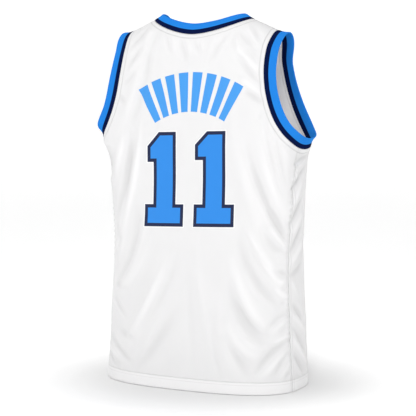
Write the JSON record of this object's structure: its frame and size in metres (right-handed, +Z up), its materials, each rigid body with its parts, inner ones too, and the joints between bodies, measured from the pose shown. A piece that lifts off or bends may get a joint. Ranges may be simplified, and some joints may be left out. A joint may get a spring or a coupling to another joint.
{
  "type": "basketball jersey",
  "caption": "Sleeveless round-neck sports top, filled out as if worn, with ribbed neck and armhole bands, side seams and a turned-up hem.",
  "frame": {"origin": "midway between the two neck points of the shoulders, where the wearer's shoulders carry it", "axes": "+Z up, +Y to the wearer's back, +X to the wearer's left"},
  "size_m": [0.464, 0.25, 0.746],
  "materials": {
    "back_panel": "smooth white knit",
    "front_panel": "smooth white knit",
    "neck_band": "light blue rib knit with a navy stripe at the seam",
    "armhole_band_left": "light blue rib knit with a navy stripe at the seam",
    "armhole_band_right": "light blue rib knit with a navy stripe at the seam"
  },
  "bodies": {
    "root": {"back_panel": "back_panel", "front_panel": "front_panel", "neck_band": "neck_band", "armhole_band_left": "armhole_band_left", "armhole_band_right": "armhole_band_right"}
  },
  "joints": []
}
